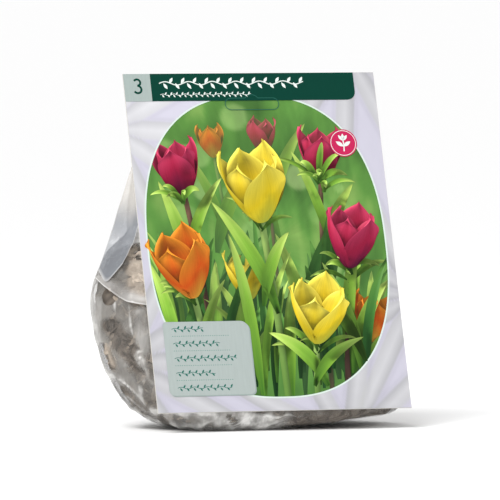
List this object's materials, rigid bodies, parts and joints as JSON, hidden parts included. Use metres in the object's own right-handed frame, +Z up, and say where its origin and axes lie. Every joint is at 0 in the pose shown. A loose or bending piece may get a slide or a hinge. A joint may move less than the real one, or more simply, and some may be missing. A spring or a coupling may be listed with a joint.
{
  "type": "bagged flower bulbs with display card",
  "caption": "Retail pack of large flower bulbs: a clear film bag of bulbs in wood shavings, standing on its base, taped behind a tall leaning printed card with a hang tab.",
  "frame": {"origin": "middle of the pack's bounding box in X and Y, on the surface that it stands on", "axes": "+Z up; -Y towards the front, where the card's printed face is; +X to the right as seen from the front"},
  "size_m": [0.18, 0.0988, 0.1996],
  "materials": {
    "printed_board": "printed and varnished",
    "clear_film": "clear crinkled polyethylene film",
    "tape": "double-sided adhesive strip",
    "bulb_scales": "dry fleshy bulb scales",
    "wood_shavings": "loose softwood shavings"
  },
  "bodies": {
    "root": {"printed_card": "printed_board", "tape_strip": "tape", "film_bag": "clear_film", "bulb_left": "bulb_scales", "bulb_right": "bulb_scales", "bulb_upper": "bulb_scales", "wood_shavings": "wood_shavings"}
  },
  "joints": []
}
